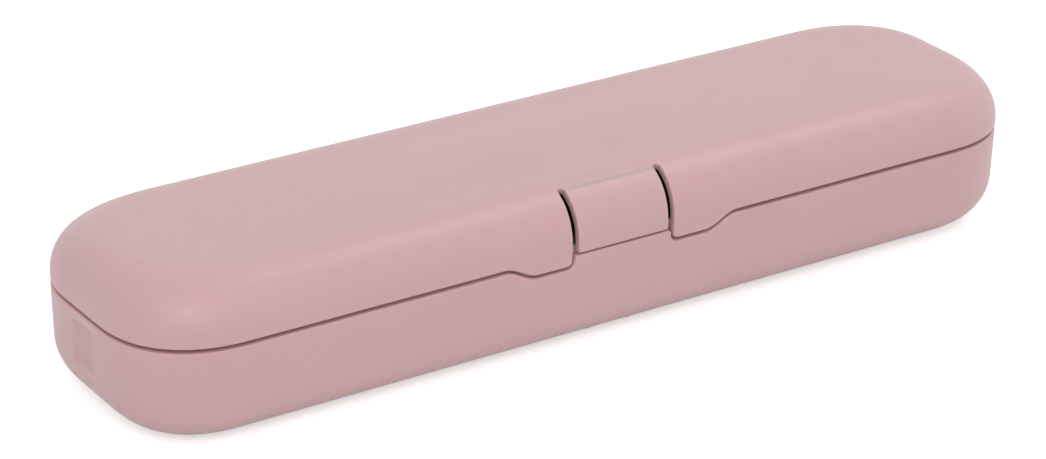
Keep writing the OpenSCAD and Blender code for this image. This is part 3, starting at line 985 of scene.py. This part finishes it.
class CASE_OT_latch(bpy.types.Operator):
    """Build the latch tab, which meets the lid at its root, and the hook inside it"""
    bl_idname = "travel_case.latch"
    bl_label = "Latch tab"

    def execute(self, context):
        case = case_sizes()
        latch = latch_sizes()
        half_width = case.case_width / 2
        low = case.parting_height - case.parting_gap / 2 + latch.tab_gap
        xs = np.linspace(-latch.tab_width / 2, latch.tab_width / 2, 2 * TAB_STEPS + 1)
        angles = np.linspace(0, latch.root_angle, ROOT_ROWS + 1)

        def skin(depth):
            rows = [(depth, low), (depth, (low + shoulder_at(0.0, depth)[1]) / 2)]
            rows += [shoulder_at(angle, depth) for angle in angles]
            return np.array([[x, inset - half_width, z] for inset, z in rows for x in xs])

        count = len(xs)
        row_count = len(angles) + 2
        outside = skin(0.0)
        faces = grid_quads(row_count, count, lambda row, i: i < count - 1)
        points, faces, open_edges = walled(outside, skin(case.lid_wall), faces)
        rounded = {}
        for a, b in open_edges:
            if not (a // count == row_count - 1 and b // count == row_count - 1):
                for skip in (0, len(outside)):
                    rounded[min(a, b) + skip, max(a, b) + skip] = 1.0 if skip == 0 else 0.5
        mesh = smooth_mesh("latch_tongue", points, faces, rounded)
        piece = rounded_piece("latch_tongue", mesh, case.edge_round)
        dress(piece, shell_plastic())
        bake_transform(piece)
        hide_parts("latch_tab")
        self.make_hook()
        return {"FINISHED"}

    def make_hook(self):
        case = case_sizes()
        latch = latch_sizes()
        sill, head = window_heights()
        low = sill + latch.hook_play_low
        high = head - latch.hook_play_high
        tip = latch.catch_inset + latch.hook_catch
        root = case.lid_wall - WELD
        outline = [(root, low), (case.lid_wall, low), (tip, high - latch.hook_tip), (tip, high),
                   (root, high)]
        outline = [(inset - case.case_width / 2, z) for inset, z in outline]
        mesh = extruded("latch_hook", [outline], latch.hook_width, latch.hook_round, "X")
        piece = new_piece("latch_hook", mesh)
        dress(piece, shell_plastic())
        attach(piece, "latch")


def window_heights():
    """Lower and upper edge of the window in the catch."""
    case = case_sizes()
    latch = latch_sizes()
    return (
        case.parting_height + case.lip_height,
        case.parting_height + latch.catch_height - latch.catch_bar
    )


class CASE_OT_catch(bpy.types.Operator):
    """Build the catch inside the base's front wall, with the window for the hook"""
    bl_idname = "travel_case.catch"
    bl_label = "Catch"

    def execute(self, context):
        case = case_sizes()
        latch = latch_sizes()
        window_side = latch.hook_width / 2 + latch.window_play
        side = window_side + latch.catch_cheek
        low = case.parting_height - latch.catch_reach
        high = case.parting_height + latch.catch_height
        sill, head = window_heights()
        outline = [(-side, low), (side, low), (side, high), (-side, high)]
        window = [(-window_side, sill), (-window_side, head), (window_side, head),
                  (window_side, sill)]
        mesh = extruded(
            "front_catch", [outline, window], latch.catch_thickness, latch.catch_round, "Y"
        )
        middle = latch.catch_inset + latch.catch_thickness / 2 - case.case_width / 2
        mesh.transform(Matrix.Translation((0, middle, 0)))
        piece = new_piece("front_catch", mesh)
        dress(piece, shell_plastic())
        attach(piece, "base")
        return {"FINISHED"}


class CASE_OT_hinges(bpy.types.Operator):
    """Build the knuckles of both hinges, on the base and on the lid, around the steel pins"""
    bl_idname = "travel_case.hinges"
    bl_label = "Hinges"

    def execute(self, context):
        case = case_sizes()
        hinge = hinge_sizes()
        half_gap = case.parting_gap / 2
        root = -(hinge.radius + hinge.gap + WELD)
        lean = math.degrees(math.asin(half_gap / hinge.radius))
        base = [(root - case.draft, -hinge.radius)]
        base += self.arc(-90, 180 + lean)
        base += [(root - case.draft, -half_gap)]
        corners = self.stop_corner()
        above, below = [math.degrees(math.atan2(z, y)) for y, z in (corners[0], corners[-1])]
        lid = [(root, hinge.radius)] + self.arc(90, above)
        lid += corners
        lid += self.arc(below, -180 - lean)
        lid += [(root, half_gap)]
        pairs = (
            ("base_knuckles", "base", base, hinge.base_knuckle, hinge.pin_radius, 1),
            ("lid_knuckles", "lid", lid, hinge.lid_knuckle,
             hinge.pin_radius + hinge.pin_clearance, 2),
        )
        for name, body, outline, size, bore, forms in pairs:
            hole = [(bore * math.cos(a), bore * math.sin(a)) for a in full_turn()]
            mesh = extruded(name, [outline, hole], size, hinge.edge_round, "X")
            mesh.transform(Matrix.Translation((
                0, case.case_width / 2 + hinge.radius + hinge.gap, case.parting_height
            )))
            distance = hinge.base_knuckle + 2 * hinge.gap + hinge.lid_knuckle
            piece = repeated(name, mesh, 2, 2 * hinge.spread, forms, distance, shell_plastic())
            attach(piece, body)
        return {"FINISHED"}

    def arc(self, start, stop):
        """Points on a knuckle's outline between two angles in degrees."""
        radius = hinge_sizes().radius
        return [
            (radius * math.cos(a), radius * math.sin(a))
            for a in np.radians(np.linspace(start, stop, ARC_STEPS + 1))
        ]

    def stop_corner(self):
        """Corner of a lid knuckle that meets the base's wall when the lid is open."""
        hinge = hinge_sizes()
        reach = hinge.radius + hinge.gap - hinge.stop_gap
        turned = Matrix.Rotation(hinge.open_angle, 2)
        corners = [(-hinge.stop_height / 2, -hinge.radius), (-reach, -hinge.stop_height),
                   (-reach, 0)]
        return [tuple(turned @ Vector(corner)) for corner in corners]


class CASE_OT_pads(bpy.types.Operator):
    """Build the four soft pads: curved strips with shallow grip grooves along the case"""
    bl_idname = "travel_case.pads"
    bl_label = "Pads"

    def execute(self, context):
        inside = inside_sizes()
        low_reach = math.acos(inside.trough_pad_end / inside.trough_pad_out)
        high_reach = math.asin(inside.rib_width / 2 / inside.lid_pad_out)
        kinds = (
            ("trough_pad", "base", -90, low_reach, inside.trough_pad_in, inside.trough_pad_out),
            ("lid_pad", "lid", 90, high_reach, inside.lid_pad_in, inside.lid_pad_out),
        )
        for kind, body, middle, reach, inner, outer in kinds:
            outline = self.strip(math.radians(middle), reach, inner, outer)
            for side, word in ((-1, "left"), (1, "right")):
                name = f"{kind}_strip_{word}"
                mesh = extruded(name, [outline], inside.pad_length, inside.pad_round, "X")
                mesh.transform(Matrix.Translation((side * inside.pad_x, 0, 0)))
                piece = new_piece(name, mesh)
                dress(piece, pad_silicone())
                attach(piece, body)
                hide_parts(f"{kind}_{word}")
        return {"FINISHED"}

    def strip(self, middle, reach, inner, outer):
        """Outline of a strip about the trough's axis, as y and z, with grooves on its inside."""
        inside = inside_sizes()
        span = reach - 2 * inside.pad_round / outer
        steps = GROOVE_STEPS * inside.grooves
        radii = [(outer, angle) for angle in np.linspace(-reach, reach, PAD_STEPS + 1)]
        for i in range(steps + 1):
            share = 1 - 2 * i / steps
            wave = (1 - math.cos(2 * math.pi * inside.grooves * i / steps)) / 2
            radii.append((inner + inside.groove_depth * wave ** 4, span * share))
        return [
            (inside.trough_y + radius * math.cos(middle + angle),
             inside.trough_z + radius * math.sin(middle + angle))
            for radius, angle in radii
        ]


class CASE_OT_inside(bpy.types.Operator):
    """Build the ribs in the lid and the posts under the tray, and finish the CAD nodes that stay"""
    bl_idname = "travel_case.inside"
    bl_label = "Inside"

    def execute(self, context):
        self.make_ribs()
        self.make_posts()
        kept = {
            "inner_tray": tray_plastic(),
            "hinge_pin_left": pin_steel(),
            "hinge_pin_right": pin_steel(),
        }
        for node, finish in kept.items():
            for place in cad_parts[node].material_slots:
                place.material = finish
        return {"FINISHED"}

    def make_ribs(self):
        case = case_sizes()
        inside = inside_sizes()
        top = case.case_height - case.crown - case.lid_wall + WELD
        half = inside.rib_width / 2
        reach = math.asin(half / inside.rib_radius)
        outline = [
            (inside.trough_y + inside.rib_radius * math.sin(a),
             inside.trough_z + inside.rib_radius * math.cos(a))
            for a in np.linspace(-reach, reach, ARC_STEPS + 1)
        ]
        outline += [(inside.trough_y + half, top), (inside.trough_y - half, top)]
        mesh = extruded("lid_ribs", [outline], inside.rib_thickness, inside.rib_round, "X")
        piece = repeated(
            "lid_ribs", mesh, 2, 2 * inside.pad_x, 2,
            inside.pad_length - inside.rib_thickness, shell_plastic()
        )
        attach(piece, "lid")

    def make_posts(self):
        inside = inside_sizes()
        for name, x, y in (("end_posts", inside.end_post_x, 0.0),
                           ("front_posts", inside.front_post_x, inside.front_post_y)):
            piece = repeated(name, self.post_mesh(name, y), 2, 2 * x, 1, 0.0, shell_plastic())
            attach(piece, "base")

    def post_mesh(self, name, y):
        """Round post that flares into the base's floor, about the point x = 0."""
        inside = inside_sizes()
        floor = case_sizes().base_floor
        low = floor - inside.post_sink
        profile = [(inside.post_radius + inside.post_flare, low)]
        profile += [
            (inside.post_radius + inside.post_flare * (1 - math.sin(a)),
             floor + inside.post_flare * (1 - math.cos(a)))
            for a in quarter_turn(POST_STEPS)
        ]
        profile += [
            (inside.post_radius - inside.post_round * (1 - math.cos(a)),
             inside.post_top - inside.post_round * (1 - math.sin(a)))
            for a in quarter_turn(POST_STEPS)
        ]
        around = full_turn()
        points = [
            (radius * math.cos(a), y + radius * math.sin(a), z)
            for radius, z in profile for a in around
        ]
        count = len(around)
        faces = grid_quads(len(profile), count, lambda row, i: True)
        faces += pole_fan(0, count, len(points), True)
        faces += pole_fan((len(profile) - 1) * count, count, len(points) + 1, False)
        points += [(0, y, low), (0, y, inside.post_top)]
        return smooth_mesh(name, points, faces, {})


def direction(azimuth, elevation):
    """Unit vector from the case towards a place, at azimuth 0 straight in front of it."""
    return Vector((
        math.sin(azimuth) * math.cos(elevation),
        -math.cos(azimuth) * math.cos(elevation),
        math.sin(elevation)
    ))


class CASE_OT_stage(bpy.types.Operator):
    """Set up the floor, the studio light and the camera"""
    bl_idname = "travel_case.stage"
    bl_label = "Stage"

    def execute(self, context):
        self.make_floor()
        self.make_lights(context.scene)
        self.make_camera(context.scene)
        context.scene.view_settings.view_transform = "Standard"
        return {"FINISHED"}

    def make_floor(self):
        corners = ((-1, -1), (1, -1), (1, 1), (-1, 1))
        points = [(FLOOR_REACH * x, FLOOR_REACH * y, 0) for x, y in corners]
        mesh = bpy.data.meshes.new("floor")
        mesh.from_pydata(points, [], [(0, 1, 2, 3)])
        floor = new_piece("floor", mesh)
        made, tree, shader = material("matt_white_paper")[:3]
        surface = shader.outputs[0].links[0].to_socket
        shader.inputs["Base Color"].default_value = finishes().floor
        shader.inputs["Roughness"].default_value = 0.9
        # To the camera alone the paper looks white, with the object's shadow still on it
        seen = add_node(tree, "ShaderNodeLightPath")
        lift = add_node(tree, "ShaderNodeMath", {
            0: seen.outputs["Is Camera Ray"], 1: FLOOR_LIFT
        }, operation="MULTIPLY")
        glow = add_node(tree, "ShaderNodeEmission", {"Strength": lift.outputs[0]})
        both = add_node(tree, "ShaderNodeAddShader", {0: shader.outputs[0], 1: glow.outputs[0]})
        tree.links.new(both.outputs[0], surface)
        dress(floor, made)

    def make_lights(self, scene):
        world = bpy.data.worlds.new("studio")
        scene.world = world
        world.use_nodes = True
        tree = world.node_tree
        tree.nodes.clear()
        seen = add_node(tree, "ShaderNodeLightPath")
        direct = add_node(tree, "ShaderNodeMath", {
            0: seen.outputs["Is Camera Ray"], 1: seen.outputs["Is Glossy Ray"]
        }, operation="MAXIMUM")
        direct = add_node(tree, "ShaderNodeMath", {
            0: direct.outputs[0], 1: seen.outputs["Is Transmission Ray"]
        }, operation="MAXIMUM")
        strength = add_node(tree, "ShaderNodeMapRange", {
            "Value": direct.outputs[0], "To Min": ROOM_LIGHT, "To Max": 1.0
        })
        sky = add_node(tree, "ShaderNodeBackground", {
            "Color": (1, 1, 1, 1), "Strength": strength.outputs[0]
        })
        add_node(tree, "ShaderNodeOutputWorld", {"Surface": sky.outputs[0]})
        for name, (watts, size, distance, azimuth, elevation) in SOFTBOXES.items():
            light = bpy.data.lights.new(name, "AREA")
            light.shape = "SQUARE"
            light.size = size
            light.energy = watts
            lamp = new_piece(name, light)
            towards = direction(math.radians(azimuth), math.radians(elevation))
            lamp.location = towards * distance
            lamp.rotation_euler = towards.to_track_quat("Z", "Y").to_euler()

    def make_camera(self, scene):
        """Place the camera where the photograph was taken from, by its fitted angles and distance."""
        azimuth, elevation, roll = math.radians(-34.3411), math.radians(24.5731), math.radians(1.124)
        distance = 729.5731 * MM
        photo_width = 1046
        focal = 3519.9459
        aside, above = 23.9822, -17.2644
        back = direction(azimuth, elevation)
        level = Vector((0, 0, 1)).cross(back).normalized()
        upright = back.cross(level)
        right = math.cos(roll) * level + math.sin(roll) * upright
        up = math.cos(roll) * upright - math.sin(roll) * level
        centre = Vector((0, 0, case_sizes().case_height / 2))
        place = centre + distance * back
        aim = centre - right * (aside * distance / focal) + up * (above * distance / focal)
        axis = (place - aim).normalized()
        right = (right - axis * right.dot(axis)).normalized()
        up = axis.cross(right)
        data = bpy.data.cameras.new("camera")
        data.sensor_width = 36
        data.lens = focal * data.sensor_width / photo_width
        camera = new_piece("camera", data)
        turned = Matrix((right, up, axis)).transposed().to_4x4()
        camera.matrix_world = Matrix.Translation(place) @ turned
        scene.camera = camera


class CASE_PT_panel(bpy.types.Panel):
    """Lists the steps that build the case"""
    bl_label = "Travel case"
    bl_idname = "CASE_PT_panel"
    bl_space_type = "VIEW_3D"
    bl_region_type = "UI"
    bl_category = "Travel case"

    def draw(self, context):
        for step in STEPS:
            self.layout.operator(step.bl_idname)
        for group in GROUPS:
            sizes = getattr(context.scene, group)
            column = self.layout.column(align=True)
            # The first two properties are Blender's own
            for name in sizes.bl_rna.properties.keys()[2:]:
                column.prop(sizes, name)


GROUPS = {
    "case_sizes": CaseSizes,
    "latch_sizes": LatchSizes,
    "hinge_sizes": HingeSizes,
    "inside_sizes": InsideSizes,
    "finishes": Finishes,
}
STEPS = (
    CASE_OT_stage, CASE_OT_base, CASE_OT_lid, CASE_OT_latch, CASE_OT_catch, CASE_OT_hinges,
    CASE_OT_inside, CASE_OT_pads
)


def register():
    for name, group in GROUPS.items():
        bpy.utils.register_class(group)
        setattr(bpy.types.Scene, name, PointerProperty(type=group))
    for step in STEPS:
        bpy.utils.register_class(step)
    bpy.utils.register_class(CASE_PT_panel)


def unregister():
    bpy.utils.unregister_class(CASE_PT_panel)
    for step in reversed(STEPS):
        bpy.utils.unregister_class(step)
    for name, group in reversed(GROUPS.items()):
        delattr(bpy.types.Scene, name)
        bpy.utils.unregister_class(group)


def main():
    register()
    bpy.ops.travel_case.stage()
    bpy.ops.travel_case.base()
    bpy.ops.travel_case.lid()
    bpy.ops.travel_case.latch()
    bpy.ops.travel_case.catch()
    bpy.ops.travel_case.hinges()
    bpy.ops.travel_case.inside()
    bpy.ops.travel_case.pads()


if __name__ == "__main__":
    main()
